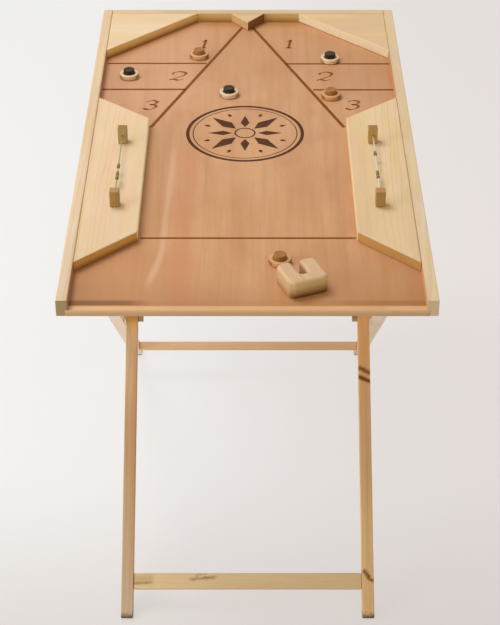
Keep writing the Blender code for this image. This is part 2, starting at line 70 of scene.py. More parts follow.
# Directions
X, Y, Z = (1, 0, 0), (0, 1, 0), (0, 0, 1)
TO_LEFT, TO_FRONT = (-1, 0, 0), (0, -1, 0)
OUTER_GRAIN = (0, math.cos(LEG_TILT), -math.sin(LEG_TILT))
INNER_GRAIN = (0, math.cos(LEG_TILT), math.sin(LEG_TILT))
LEG_UPPER = (0, -math.sin(LEG_TILT), math.cos(LEG_TILT))
SHOOTER_TURN = math.radians(22.5)
SHOOTER_GRAIN = (-math.sin(SHOOTER_TURN), math.cos(SHOOTER_TURN), 0)
SHOOTER_FRONT = (math.sin(SHOOTER_TURN), -math.cos(SHOOTER_TURN), 0)
SHOOTER_LEFT = (-math.cos(SHOOTER_TURN), -math.sin(SHOOTER_TURN), 0)


def tone(red, green, blue):
    """Scene-linear colour of an 8-bit display colour."""
    shares = np.array([red, green, blue]) / 255
    linear = np.where(shares <= 0.04045, shares / 12.92, ((shares + 0.055) / 1.055) ** 2.4)
    return (*linear.tolist(), 1.0)


def deeper(colour, share):
    """A colour brought down to a share of its brightness."""
    return tuple(share * channel for channel in colour[:3]) + (1.0,)


class Nodes:
    """A node tree in the making: each call adds a node, wires what it is given and returns the output."""

    def __init__(self, tree):
        self.tree = tree

    def feed(self, socket, value):
        """Link an output to a socket, or set the socket to a constant."""
        if isinstance(value, bpy.types.NodeSocket):
            self.tree.links.new(value, socket)
        else:
            socket.default_value = value

    def add(self, kind, sockets, output=0, **settings):
        """Add a node of a kind with its settings, fill its sockets and return one of its outputs."""
        node = self.tree.nodes.new(kind)
        for key, value in settings.items():
            setattr(node, key, value)
        for key, value in sockets.items():
            self.feed(node.inputs[key], value)
        return node.outputs[output]

    def calc(self, operation, *values):
        """Arithmetic of numbers."""
        return self.add("ShaderNodeMath", dict(enumerate(values)), operation=operation)

    def vector(self, operation, *values, output="Vector"):
        """Arithmetic of vectors."""
        return self.add("ShaderNodeVectorMath", dict(enumerate(values)), output, operation=operation)

    def product(self, first, *others):
        """All the values multiplied."""
        for other in others:
            first = self.calc("MULTIPLY", first, other)
        return first

    def between(self, value, low, high, start, end):
        """Smooth step of a value from one level to another."""
        sockets = {"Value": value, "From Min": low, "From Max": high, "To Min": start, "To Max": end}
        return self.add("ShaderNodeMapRange", sockets, interpolation_type="SMOOTHSTEP")

    def rise(self, value, low, high, depth=1.0):
        """Smooth step up from nothing to a depth."""
        return self.between(value, low, high, 0.0, depth)

    def fall(self, value, low, high, depth=1.0):
        """Smooth step down from a depth to nothing."""
        return self.between(value, low, high, depth, 0.0)

    def mix(self, share, first, second, mode="MIX"):
        """Two colours mixed by a share. Sockets 6 and 7 of the node are its colours, output 2 their mix."""
        sockets = {0: share, 6: first, 7: second}
        return self.add("ShaderNodeMix", sockets, 2, data_type="RGBA", blend_type=mode)

    def ramp(self, value, stops):
        """Colour of a value on a ramp of stops (position, colour)."""
        colour = self.add("ShaderNodeValToRGB", {0: value})
        for element, (position, stop) in zip(colour.node.color_ramp.elements, stops):
            element.position = position
            element.color = stop
        return colour

    def noise(self, vector, scale, detail=2.0, roughness=0.55):
        """Fractal noise between 0 and 1."""
        sockets = {"Vector": vector, "Scale": scale, "Detail": detail, "Roughness": roughness}
        return self.add("ShaderNodeTexNoise", sockets, "Fac")

    def seen(self):
        """1 for what the camera sees, also in a mirror or through glass, and 0 for other light."""
        ray = self.add("ShaderNodeLightPath", {}).node.outputs
        mirrored = self.calc("MAXIMUM", ray["Is Glossy Ray"], ray["Is Transmission Ray"])
        return self.calc("MAXIMUM", ray["Is Camera Ray"], mirrored)


class Finish(Nodes):
    """The nodes of a material, which read the place on the object and the way that its face looks."""

    def __init__(self, name):
        self.material = bpy.data.materials.new(name)
        self.material.use_nodes = True
        super().__init__(self.material.node_tree)
        self.shader = self.tree.nodes["Principled BSDF"]
        self.place = self.add("ShaderNodeTexCoord", {}, "Object")
        self.facing = self.place.node.outputs["Normal"]
        self.x, self.y, self.z = self.add("ShaderNodeSeparateXYZ", {"Vector": self.place}).node.outputs

    def nearness(self, direction):
        """Cosine of the angle between the face's normal and a direction."""
        return self.vector("DOT_PRODUCT", self.facing, Vector(direction).normalized(), output="Value")

    def towards(self, direction, start, end, depth=1.0):
        """Share that grows to a depth as the face turns to a direction."""
        return self.rise(self.nearness(direction), start, end, depth)

    def off_line(self, point, heading):
        """Distance from the line through a point with a heading: the way from the point without its run."""
        away = self.vector("SUBTRACT", self.place, Vector(point))
        run = self.vector("PROJECT", away, Vector(heading).normalized())
        return self.vector("LENGTH", self.vector("SUBTRACT", away, run), output="Value")

    def fibres(self, grain, stretch, scale, detail=2.0, roughness=0.55, shift=(0, 0, 0)):
        """Noise drawn out along the grain: coordinates turned so that x runs with it are squeezed along x."""
        grain = Vector(grain).normalized()
        upright = Vector(Z) if abs(grain.z) < 0.9 else Vector(Y)
        side = grain.cross(upright).normalized()
        turn = Matrix((grain, side, grain.cross(side))).to_euler()
        aligned = self.add("ShaderNodeMapping", {"Vector": self.place, "Rotation": turn, "Location": shift})
        squeezed = self.add("ShaderNodeMapping", {"Vector": aligned, "Scale": (1 / stretch, 1, 1)})
        return self.noise(squeezed, scale, detail, roughness)

    def finish(self, colour, roughness, height=None, relief=0.0, reach=0.001, **shader):
        """Wire colour, roughness and relief to the shader; other values go on its own sockets."""
        self.feed(self.shader.inputs["Base Color"], colour)
        self.feed(self.shader.inputs["Roughness"], roughness)
        for key, value in shader.items():
            self.feed(self.shader.inputs[key.replace("_", " ")], value)
        if height is not None:
            sockets = {"Strength": relief, "Distance": reach, "Height": height}
            self.feed(self.shader.inputs["Normal"], self.add("ShaderNodeBump", sockets))
        return self.material


# Wood: growth rings, fibres, bands and end grain
ROSY, GOLDEN = tone(236, 196, 160), tone(230, 204, 148)
RING_SPACING = 0.0046
RING_BEND, RING_WAVE = 0.030, 0.006
PITH_LEAN = Vector((0.011, -0.014, 0.017))
PITH_AWAY, PITH_TURN = 0.055, 2.4
NOISE_STEPS = (0.37, 0.83, 0.59)
LATE_START, LATE_PEAK = 0.15, 0.86
PLAIN_YEAR = 0.15


def late_wood(wood, grain, pith, shift, spacing):
    """Share of late wood: the distance from a leaning pith line, bent by slow noise and counted in ring
    spacings, darkens to the end of each ring, in some years far more than in others."""
    bend = wood.fibres(grain, stretch=9.0, scale=16.0, shift=shift)
    wave = wood.fibres(grain, stretch=14.0, scale=70.0, shift=shift)
    radius = wood.off_line(pith, Vector(grain).normalized() + PITH_LEAN)
    radius = wood.calc("MULTIPLY_ADD", bend, RING_BEND, radius)
    radius = wood.calc("MULTIPLY_ADD", wave, RING_WAVE, radius)
    turns = wood.calc("DIVIDE", radius, spacing)
    ring = wood.calc("FRACT", turns)
    count = wood.calc("FLOOR", turns)
    year = wood.add("ShaderNodeTexWhiteNoise", {"W": count}, "Value", noise_dimensions="1D")
    strength = wood.calc("MULTIPLY_ADD", wood.calc("POWER", year, 2.0), 1 - PLAIN_YEAR, PLAIN_YEAR)
    return wood.product(wood.rise(ring, LATE_START, LATE_PEAK), wood.fall(ring, LATE_PEAK, 1.0), strength)


def end_grain(wood, late, end_tone):
    """Colour of a sawn end: darker in its pores and in late wood."""
    pores = wood.noise(wood.place, scale=1500.0)
    colour = wood.mix(wood.rise(pores, 0.35, 0.7), end_tone, deeper(end_tone, 0.78))
    return wood.mix(wood.product(late, 0.25), colour, deeper(end_tone, 0.5))


def timber(name, grain, tones, pith, shift, spacing=RING_SPACING, contrast=0.34, end_tone=None, marks=(),
           band_tone=None):
    """Sawn and lacquered softwood. Broad soft bands of noise along the grain carry the tone from pale to
    middle and to the board's own band tone, late wood and fine fibres darken it, and end grain shows where a
    face looks along the grain. tones are (pale, middle, dark), pith is a point beside the board, and shift
    moves the noise."""
    wood = Finish(name)
    pale, middle, dark = tones
    late = late_wood(wood, grain, pith, shift, spacing)
    fibre = wood.fibres(grain, stretch=45.0, scale=900.0, detail=3.0, roughness=0.6, shift=shift)
    blush = wood.fibres(grain, stretch=5.0, scale=11.0, detail=3.0, shift=shift)
    band = wood.fibres(grain, stretch=10.0, scale=38.0, shift=(shift[0] + 0.5, shift[1], shift[2]))
    colour = wood.mix(wood.rise(blush, 0.34, 0.66), pale, middle)
    colour = wood.mix(wood.rise(band, 0.46, 0.72, 0.55), colour, band_tone or middle)
    if band_tone:
        patch = wood.fibres(grain, stretch=2.5, scale=22.0, shift=(shift[2], shift[0], shift[1]))
        colour = wood.mix(wood.rise(patch, 0.45, 0.68, 0.5), colour, GOLDEN)
    colour = wood.mix(wood.product(late, contrast), colour, dark)
    colour = wood.mix(wood.rise(fibre, 0.48, 0.74, 0.6 * contrast), colour, dark)
    sawn = wood.rise(wood.calc("ABSOLUTE", wood.nearness(grain)), 0.52, 0.84)
    colour = wood.mix(sawn, colour, end_grain(wood, late, end_tone or deeper(dark, 0.72)))
    for mark in marks:
        colour = mark(wood, colour)
    rough = wood.calc("MULTIPLY_ADD", fibre, 0.18, 0.42)
    height = wood.calc("MULTIPLY_ADD", fibre, 0.7, wood.product(late, 0.4))
    return wood.finish(colour, rough, height, relief=0.12, reach=0.0004, Coat_Weight=0.02, Coat_Roughness=0.3,
                       Specular_IOR_Level=0.12)


# Marks: a mark lays another tone over the colour under it: knots and streaks in the wood, and painted light
# and shade on faces, in joints and at the feet of walls. Most are made to measure by a function
SOFT_EDGE = 0.006
LOW_TO_MIDDLE, MIDDLE_TO_HIGH = (0.09, 0.21), (0.24, 0.34)
SEAM_SHADE_BROWN, JOINT_BROWN, TOE_BROWN = tone(190, 142, 96), tone(190, 143, 98), tone(112, 86, 66)


def painted_shade_spot(centre, axis, radius, depth, colour):
    """Painted shade in a spot round a point: the distance from an axis through it, wobbled by noise, sets how
    dark.
    """
    def mark(wood, under):
        wobble = wood.noise(wood.place, scale=160.0)
        off = wood.calc("MULTIPLY_ADD", wobble, 0.5 * radius, wood.off_line(centre, axis))
        return wood.mix(wood.fall(off, 0.45 * radius, 1.4 * radius, depth), under, tone(*colour))
    return mark


def smear(centre, heading, length, width, depth, colour):
    """A soft-edged stripe: along its heading it fades at half its length, and across it, wobbled by noise, at
    about half its width."""
    def mark(wood, under):
        away = wood.vector("SUBTRACT", wood.place, Vector(centre))
        run = wood.vector("DOT_PRODUCT", away, Vector(heading).normalized(), output="Value")
        on = wood.fall(wood.calc("ABSOLUTE", run), 0.30 * length, 0.55 * length)
        wobble = wood.noise(wood.place, scale=240.0)
        off = wood.calc("MULTIPLY_ADD", wobble, 0.5 * width, wood.off_line(centre, heading))
        share = wood.product(on, wood.fall(off, 0.25 * width, 0.85 * width, depth))
        return wood.mix(share, under, tone(*colour))
    return mark


def painted_side_shading(direction, depth, colour, start=0.35, end=0.85, reach=None):
    """Painted shading on the faces that look one way: a lighter or darker tone whose share grows as the
    normal nears that direction. With a reach it keeps between two places along Y."""
    def mark(wood, under):
        share = wood.towards(direction, start, end, depth)
        if reach:
            near, far = reach
            share = wood.product(share, wood.rise(wood.y, near - SOFT_EDGE, near))
            share = wood.product(share, wood.fall(wood.y, far, far + SOFT_EDGE))
        return wood.mix(share, under, tone(*colour))
    return mark


def painted_foot_shade(direction, foot, top, depth, colour):
    """Painted shade low on the walls that look one way: the share falls between two heights above the panel.
    """
    def mark(wood, under):
        low = wood.fall(wood.z, PLAY_Z + foot, PLAY_Z + top, depth)
        return wood.mix(wood.product(wood.towards(direction, 0.3, 0.7), low), under, tone(*colour))
    return mark


def painted_seam_shade(place, width, depth):
    """Painted shade, soft and brown, on both sides of a joint that runs along Y: the distance in x sets its
    depth.
    """
    def mark(wood, under):
        off = wood.calc("ABSOLUTE", wood.calc("SUBTRACT", wood.x, place))
        wander = wood.between(wood.fibres(Y, stretch=6.0, scale=60.0), 0.3, 0.6, 0.45, 1.0)
        return wood.mix(wood.product(wood.fall(off, 0.0, width, depth), wander), under, SEAM_SHADE_BROWN)
    return mark


def leg_height_shading(low, middle, high):
    """Painted light and shade along a leg's height, for how light falls under the tray: its colour times a
    factor low down, half-way and high up.
    """
    def mark(wood, under):
        factor = wood.mix(wood.rise(wood.z, *LOW_TO_MIDDLE), (*low, 1.0), (*middle, 1.0))
        factor = wood.mix(wood.rise(wood.z, *MIDDLE_TO_HIGH), factor, (*high, 1.0))
        return wood.mix(1.0, under, factor, "MULTIPLY")
    return mark


def dark_toe(height):
    """Darker foot: the last of the leg above the floor, with an edge wobbled by noise."""
    def mark(wood, under):
        edge = wood.calc("MULTIPLY_ADD", wood.noise(wood.place, scale=220.0), 0.6 * height, wood.z)
        return wood.mix(wood.fall(edge, 0.85 * height, 1.5 * height, 0.85), under, TOE_BROWN)
    return mark


def face_smear(x, y, degrees, length, width, depth, colour):
    """A smear on the upper face of the inner frame, which climbs along Y at the legs' tilt; its heading lies
    in that face, turned by an angle from X down the slope."""
    climb = math.tan(LEG_TILT) * (y - PIVOT.y) + LEG_HALF / math.cos(LEG_TILT)
    angle = math.radians(degrees)
    heading = math.cos(angle) * Vector(X) - math.sin(angle) * Vector(INNER_GRAIN)
    return smear((x, y, PIVOT.z + climb), heading, length, width, depth, colour)


def tray_bounce_shade(wood, under):
    """Painted shade, golden as with warm light bounced from the tray, on the leg's upper face near its pivot,
    in at one height and out at another.
    """
    come = wood.rise(wood.z, PIVOT.z - 0.026, PIVOT.z + 0.016, 0.85)
    leave = wood.fall(wood.z, PIVOT.z + 0.044, PIVOT.z + 0.124)
    share = wood.product(come, leave, wood.towards(LEG_UPPER, 0.2, 0.7))
    return wood.mix(share, under, tone(206, 150, 66))


def painted_front_light(wood, under):
    """Painted light on the face that looks to the front, paler over its upper part, and painted shade along
    its lower edge.
    """
    upper = wood.rise(wood.z, RIM_Z - 0.027, RIM_Z - 0.016)
    face = wood.mix(upper, tone(204, 167, 124), tone(226, 199, 157))
    return wood.mix(wood.towards(TO_FRONT, 0.3, 0.9, 0.9), under, face)


def joint_dark_edge(wood, under):
    """The inner edge of the front rail's top, darkened like the panel line that it meets."""
    inner = wood.rise(wood.y, PANEL_NEAR - 0.0050, PANEL_NEAR - 0.0024, 0.9)
    return wood.mix(wood.product(inner, wood.towards(Z, 0.3, 0.8)), under, JOINT_BROWN)


# Boards, one recipe per board so that no two share their figure
LEFT_BOARD = (tone(236, 213, 181), tone(230, 202, 166), tone(208, 167, 121))
RIGHT_BOARD = (tone(224, 195, 155), tone(214, 181, 139), tone(191, 148, 102))
RIGHT_BLOCK = (tone(235, 208, 170), tone(226, 195, 155), tone(202, 161, 114))
SIDE_RAIL = (tone(233, 211, 182), tone(221, 196, 163), tone(195, 157, 115))
BACK_RAIL = (tone(220, 200, 173), tone(208, 185, 154), tone(184, 148, 108))
FRONT_RAIL = (tone(233, 186, 138), tone(225, 175, 126), tone(196, 144, 94))
FRONT_POST = (tone(184, 150, 92), tone(170, 134, 76), tone(134, 98, 48))
LEFT_BACK_POST = (tone(184, 160, 108), tone(170, 144, 90), tone(134, 106, 58))
RIGHT_BACK_POST = (tone(194, 160, 102), tone(180, 144, 86), tone(142, 106, 56))
LEFT_LEG = (tone(221, 196, 155), tone(211, 180, 135), tone(184, 143, 92))
RIGHT_LEG = (tone(231, 202, 148), tone(226, 190, 132), tone(200, 153, 91))
# The outer legs' near-white tones are painted light: they stand brightly lit under the tray
OUTER_LEG_LIT = (tone(255, 244, 226), tone(251, 236, 214), tone(234, 208, 174))
FRONT_STRETCHER = (tone(233, 211, 170), tone(228, 200, 155), tone(201, 163, 109))
REAR_STRETCHER = (tone(239, 209, 167), tone(233, 197, 152), tone(205, 159, 105))
board_woods = {
    "left_rail": (Y, SIDE_RAIL),
    "right_rail": (Y, SIDE_RAIL),
    "back_rail": (X, BACK_RAIL),
    "front_rail": (X, FRONT_RAIL),
    "left_corner_board": (X, LEFT_BOARD),
    "right_corner_board": (X, RIGHT_BOARD),
    "centre_wedge": (X, RIGHT_BOARD),
    "left_side_block": (Y, LEFT_BOARD),
    "right_side_block": (Y, RIGHT_BLOCK),
    "left_score_post_back": (Z, LEFT_BACK_POST),
    "left_score_post_front": (Z, FRONT_POST),
    "right_score_post_back": (Z, RIGHT_BACK_POST),
    "right_score_post_front": (Z, FRONT_POST),
    "outer_leg_left": (OUTER_GRAIN, OUTER_LEG_LIT),
    "outer_leg_right": (OUTER_GRAIN, OUTER_LEG_LIT),
    "inner_leg_left": (INNER_GRAIN, LEFT_LEG),
    "inner_leg_right": (INNER_GRAIN, RIGHT_LEG),
    "outer_stretcher": (X, REAR_STRETCHER),
    "inner_stretcher": (X, FRONT_STRETCHER),
    "inner_top_bar": (X, LEFT_LEG),
    "hinge_block_left": (Y, LEFT_LEG),
    "hinge_block_right": (Y, LEFT_LEG),
    "clip_pad_left": (X, LEFT_LEG),
    "clip_pad_right": (X, LEFT_LEG),
}
# End-grain tones. On the slanted walls of the corner boards and side blocks they are partly painted light and
# shade: warm tones with little blue where a wall stands in shade, and a pale one on the right corner board's
# lit wall
end_tones = {
    "left_corner_board": tone(255, 206, 84),
    "right_corner_board": tone(255, 242, 206),
    "left_side_block": tone(238, 172, 12),
    "right_side_block": tone(189, 132, 10),
    "centre_wedge": tone(216, 178, 127),
    "left_rail": tone(182, 156, 112),
    "right_rail": tone(229, 204, 164),
    "left_score_post_back": tone(158, 128, 70),
    "left_score_post_front": tone(190, 148, 110),
    "right_score_post_back": tone(172, 128, 66),
    "right_score_post_front": tone(196, 146, 98),
}
band_tones = {
    "left_corner_board": ROSY,
    "right_corner_board": ROSY,
    "left_side_block": ROSY,
    "right_side_block": GOLDEN,
    "back_rail": ROSY,
    "left_rail": ROSY,
    "right_rail": GOLDEN,
}
# Painted shade along the joints between the side rails and the side blocks
LEFT_SEAM_SHADE = painted_seam_shade(-RAIL_FACE, 0.006, 0.40)
RIGHT_SEAM_SHADE = painted_seam_shade(RAIL_FACE, 0.005, 0.30)
open_stretches = [(RAIL_NEAR, BLOCK_NEAR), (BLOCK_FAR + SOFT_EDGE, BOARD_NEAR)]
LEG_LEFT_FACE_SHADE = (206, 172, 126)
KNOT_BROWN, GRAIN_BROWN = (104, 60, 18), (140, 94, 44)
# A face smear has its x, y, angle, length, width, depth and colour
board_marks = {
    # Front rail: painted light and shade on its front face, and a darker inner edge on its top
    "front_rail": [painted_front_light, joint_dark_edge],
    # Back rail: painted shade, golden, on its wall that looks to the front, and deeper painted shade at the
    # foot of that wall
    "back_rail": [painted_side_shading(TO_FRONT, 0.9, (222, 189, 116)),
                  painted_foot_shade(TO_FRONT, foot=0.001, top=0.013, depth=0.56, colour=(168, 108, 36))],
    # Left rail: painted shade beside its joint and on its inner wall beyond and before the block, and its
    # outer face darkened against the left lamp
    "left_rail": [LEFT_SEAM_SHADE,
                  *(painted_side_shading(X, 0.8, (176, 124, 72), reach=stretch) for stretch in open_stretches),
                  painted_side_shading(TO_LEFT, 0.5, (206, 178, 140))],
    # Right rail: painted shade beside its joint and on its inner wall beyond and before the block
    "right_rail": [RIGHT_SEAM_SHADE,
                   *(painted_side_shading(TO_LEFT, 0.7, (190, 138, 86), reach=stretch) for stretch in open_stretches)],
    # Left side block: painted shade beside its joint, painted light on its inner wall, painted shade at the
    # foot of its front wall
    "left_side_block": [LEFT_SEAM_SHADE, painted_side_shading(X, 0.90, (252, 246, 180), start=0.7, end=0.95),
                        painted_foot_shade((0.45, -0.9, 0), foot=0.001, top=0.012, depth=0.65, colour=(132, 86, 4))],
    # Right side block: painted shade beside its joint
    "right_side_block": [RIGHT_SEAM_SHADE],
    # Left corner board: painted shade at the foot of its wall
    "left_corner_board": [painted_foot_shade((0.9, -0.5, 0), foot=0.001, top=0.013, depth=0.62, colour=(160, 96, 26))],
    # Centre wedge: painted shade on its face that is turned to the right and the front, away from the lamps
    "centre_wedge": [painted_side_shading((0.83, -0.55, 0), 0.92, (128, 82, 20), start=0.25, end=0.6)],
    # Right inner leg: painted light and shade with height, a streak, knots and a darker foot
    "inner_leg_right": [
        leg_height_shading((1.08, 1.08, 1.12), (0.94, 0.86, 0.90), (1.02, 0.84, 0.72)),
        face_smear(0.2225, -0.300, 90, 0.50, 0.011, 0.18, (150, 96, 50)),
        face_smear(0.2200, -0.1825, 27, 0.036, 0.0125, 0.9, (122, 72, 22)),
        face_smear(0.2200, -0.1955, 24, 0.036, 0.012, 0.95, (92, 52, 14)),
        face_smear(0.2185, -0.4695, 47.5, 0.020, 0.012, 0.85, KNOT_BROWN),
        face_smear(0.2265, -0.4775, 30.5, 0.018, 0.010, 0.85, (124, 74, 24)),
        dark_toe(0.013)],
    # Left inner leg: painted light and shade with height, golden painted shade near the pivot, a streak and a
    # darker foot
    "inner_leg_left": [
        leg_height_shading((0.86, 0.89, 1.05), (0.78, 0.70, 0.66), (1.08, 1.11, 1.16)),
        tray_bounce_shade,
        face_smear(-0.2145, -0.300, 90, 0.56, 0.012, 0.35, (206, 142, 84)),
        dark_toe(0.013)],
    # Outer legs: painted shade on their faces that look left, towards the left lamp, and darker feet
    "outer_leg_left": [painted_side_shading(TO_LEFT, 0.5, LEG_LEFT_FACE_SHADE), dark_toe(0.010)],
    "outer_leg_right": [painted_side_shading(TO_LEFT, 0.4, LEG_LEFT_FACE_SHADE), dark_toe(0.010)],
    "inner_stretcher": [
        face_smear(-0.082, -0.4755, -5, 0.056, 0.009, 0.85, GRAIN_BROWN),
        face_smear(-0.086, -0.470, -14, 0.024, 0.008, 0.6, GRAIN_BROWN),
        face_smear(-0.1935, -0.482, -2.5, 0.042, 0.008, 0.85, (132, 90, 38)),
        face_smear(-0.195, -0.477, 0, 0.050, 0.026, 0.45, (168, 142, 72))],
}


def dress(node, material):
    """Give a solid its finish."""
    NODES[node].data.materials.clear()
    NODES[node].data.materials.append(material)


for number, (node, (grain, tones)) in enumerate(board_woods.items()):
    grain_axis = Vector(grain).normalized()
    beside = grain_axis.orthogonal()
    beside.rotate(Matrix.Rotation(PITH_TURN * number, 3, grain_axis))
    shift = tuple(step * number for step in NOISE_STEPS)
    dress(node, timber(f"wood_{node}", grain, tones, middle_of(node) + PITH_AWAY * beside, shift,
                       end_tone=end_tones.get(node), marks=board_marks.get(node, ()),
                       band_tone=band_tones.get(node)))


# Panel: plywood with its own broad tones and marks
def broad_tones(ply, colour, dark):
    """The panel's slow changes of tone: redder to the near end, browner near on the right and far off, paler
    far on the left."""
    redder = ply.fall(ply.y, -0.40, 0.0, 0.22)
    near_right = ply.product(ply.rise(ply.x, -0.02, 0.26, 0.42), ply.fall(ply.y, -0.45, -0.30))
    far = ply.product(ply.rise(ply.y, 0.12, 0.40, 0.38), ply.rise(ply.x, -0.22, -0.04))
    far_left = ply.product(ply.fall(ply.x, -0.14, -0.04, 0.3), ply.rise(ply.y, 0.08, 0.20))
    near_left = ply.product(ply.fall(ply.y, -0.42, -0.34, 0.50), ply.fall(ply.x, -0.12, -0.06))
    colour = ply.mix(redder, colour, tone(206, 144, 89))
    colour = ply.mix(near_right, colour, tone(182, 124, 74))
    colour = ply.mix(far, colour, dark)
    colour = ply.mix(far_left, colour, tone(218, 166, 138))
    return ply.mix(near_left, colour, tone(196, 138, 94))


def veneer(name, tones, marks):
    """Rotary-cut plywood face, lacquered. Clouds and broad bands are noise drawn out along Y, and pores are
    short faint dashes of finer noise. The marks show on the upper face alone."""
    ply = Finish(name)
    pale, middle, dark = tones
    cloud = ply.fibres(Y, stretch=1.8, scale=13.0, detail=3.0, shift=(0.9, 0.2, 0.1))
    broad = ply.fibres(Y, stretch=7.0, scale=15.0, detail=3.0, shift=(0.3, 0.1, 0.4))
    narrow = ply.fibres(Y, stretch=22.0, scale=75.0, detail=3.0, roughness=0.6, shift=(0.7, 0.5, 0.2))
    dash = ply.fibres(Y, stretch=16.0, scale=620.0, roughness=0.5, shift=(0.2, 0.9, 0.6))
    colour = ply.mix(ply.rise(broad, 0.30, 0.70), pale, middle)
    colour = ply.mix(ply.rise(cloud, 0.42, 0.70, 0.32), colour, dark)
    colour = ply.mix(ply.rise(narrow, 0.40, 0.78, 0.42), colour, dark)
    colour = ply.mix(ply.rise(dash, 0.62, 0.76, 0.30), colour, deeper(dark, 0.70))
    colour = broad_tones(ply, colour, dark)
    upper = colour
    for mark in marks:
        upper = mark(ply, upper)
    colour = ply.mix(ply.towards(Z, 0.0, 0.5), colour, upper)
    rough = ply.calc("MULTIPLY_ADD", narrow, 0.14, 0.40)
    return ply.finish(colour, rough, dash, relief=0.08, reach=0.0002, Coat_Weight=0.02, Coat_Roughness=0.3,
                      Specular_IOR_Level=0.25)


def red_band(ply, under):
    """Redder wood in a wandering band along the near half of the panel, to the right of the pale streak."""
    wander = ply.calc("MULTIPLY_ADD", ply.fibres(Y, stretch=4.0, scale=18.0), 0.03, ply.x)
    band = ply.product(ply.rise(wander, -0.124, -0.108), ply.fall(wander, -0.090, -0.062))
    return ply.mix(ply.product(band, ply.fall(ply.y, -0.05, 0.05, 0.42)), under, tone(206, 138, 98))


def wall_shade(ply, under):
    """The panel is a little darker at the foot of the side blocks, and of the right rail on both sides of its
    block."""
    left_foot = ply.product(ply.rise(ply.x, -BLOCK_FACE, 0.008 - BLOCK_FACE, 0.40),
                            ply.fall(ply.x, 0.006 - BLOCK_FACE, 0.024 - BLOCK_FACE))
    right_foot = ply.rise(ply.x, BLOCK_FACE - 0.044, BLOCK_FACE + 0.002, 0.32)
    along_blocks = ply.product(ply.rise(ply.y, BLOCK_NEAR + 0.072, BLOCK_NEAR + 0.132),
                               ply.fall(ply.y, BLOCK_FAR - 0.129, BLOCK_FAR - 0.049))
    blocks = ply.product(ply.calc("MAXIMUM", left_foot, right_foot), along_blocks)
    beyond = ply.product(ply.rise(ply.x, RAIL_FACE - 0.051, RAIL_FACE, 0.25),
                         ply.rise(ply.y, BLOCK_FAR - 0.049, BLOCK_FAR + 0.011))
    before = ply.product(ply.rise(ply.x, RAIL_FACE - 0.061, RAIL_FACE, 0.20),
                         ply.fall(ply.y, BLOCK_NEAR + 0.042, BLOCK_NEAR + 0.082))
    share = ply.calc("MAXIMUM", blocks, ply.calc("MAXIMUM", beyond, before))
    return ply.mix(share, under, tone(166, 116, 78))


def far_shade(ply, under):
    """The panel is browner at the foot of the back rail and of the left corner board, whose wall runs at 45
    degrees from its right end."""
    wall_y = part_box("back_rail")[0].y
    board_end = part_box("left_corner_board")[1].x
    beside = ply.calc("MAXIMUM", ply.calc("SUBTRACT", board_end, ply.x), 0.0)
    share = ply.rise(ply.calc("ADD", ply.y, beside), wall_y - 0.042, wall_y - 0.004, 0.50)
    return ply.mix(share, under, tone(160, 98, 20))


STREAK = [(-0.136, 0.00), (-0.1425, -0.36), (-0.163, -0.51)]
STREAK_WIDTH = 0.012


def pale_streak(ply, under):
    """Pale line through three places (x, y) from the far end to the near one: the distance in x from a curve
    that turns smoothly at each place, with ends that fade."""
    (x_far, y_far), (x_middle, y_middle), (x_near, y_near) = STREAK
    run = ply.fall(ply.y, y_near, y_middle, x_near - x_middle)
    run = ply.calc("ADD", run, ply.between(ply.y, y_middle, y_far, x_middle, x_far))
    off = ply.calc("ABSOLUTE", ply.calc("SUBTRACT", ply.x, run))
    off = ply.calc("MULTIPLY_ADD", ply.fibres(Y, stretch=8.0, scale=60.0), 0.5 * STREAK_WIDTH, off)
    ends = ply.product(ply.rise(ply.y, y_near, y_near + 0.05), ply.fall(ply.y, y_far - 0.08, y_far))
    share = ply.product(ply.fall(off, 0.3 * STREAK_WIDTH, STREAK_WIDTH, 0.5), ends)
    return ply.mix(share, under, tone(228, 184, 148))


def front_dark_line(ply, under):
    """Browner wood towards the front rail, and a dark line where the panel meets it: strong to the left,
    faint in the middle."""
    under = ply.mix(ply.fall(ply.y, JOINT_Y - 0.007, JOINT_Y + 0.098, 0.45), under, tone(176, 122, 74))
    left = ply.between(ply.x, -0.20, -0.15, 0.90, 0.12)
    strength = ply.calc("ADD", left, ply.rise(ply.x, 0.10, 0.22, 0.3))
    line = ply.fall(ply.y, JOINT_Y + 0.006, JOINT_Y + 0.014)
    return ply.mix(ply.product(line, strength), under, tone(138, 90, 44))


PLY_TONES = (tone(216, 168, 126), tone(207, 156, 113), tone(184, 130, 86))
PLY_MARKS = [red_band, wall_shade, far_shade, pale_streak, front_dark_line]
dress("play_panel", veneer("plywood_panel", PLY_TONES, PLY_MARKS))


# Shapes: outlines, surfaces and pieces made of them
def rounded(corners, radii, steps=6):
    """Closed outline whose corners are arcs: each arc runs between the tangent points on the two sides, about
    the centre on the bisector one radius over the sine of half the corner away."""
    corners = np.asarray(corners, float)
    radii = np.broadcast_to(np.asarray(radii, float), len(corners))[:, None]
    back = np.roll(corners, 1, 0) - corners
    ahead = np.roll(corners, -1, 0) - corners
    back /= np.linalg.norm(back, axis=1)[:, None]
    ahead /= np.linalg.norm(ahead, axis=1)[:, None]
    half = np.arccos(np.clip((back * ahead).sum(1), -1, 1))[:, None] / 2
    bisector = back + ahead
    bisector /= np.linalg.norm(bisector, axis=1)[:, None]
    centre = corners + bisector * radii / np.sin(half)
    first = corners + back * radii / np.tan(half) - centre
    last = corners + ahead * radii / np.tan(half) - centre
    sweep = (np.pi - 2 * half)[:, None, :]
    share = np.linspace(0, 1, steps)[None, :, None]
    arc = np.sin((1 - share) * sweep) * first[:, None] + np.sin(share * sweep) * last[:, None]
    return (centre[:, None] + arc / np.sin(sweep)).reshape(-1, 2)


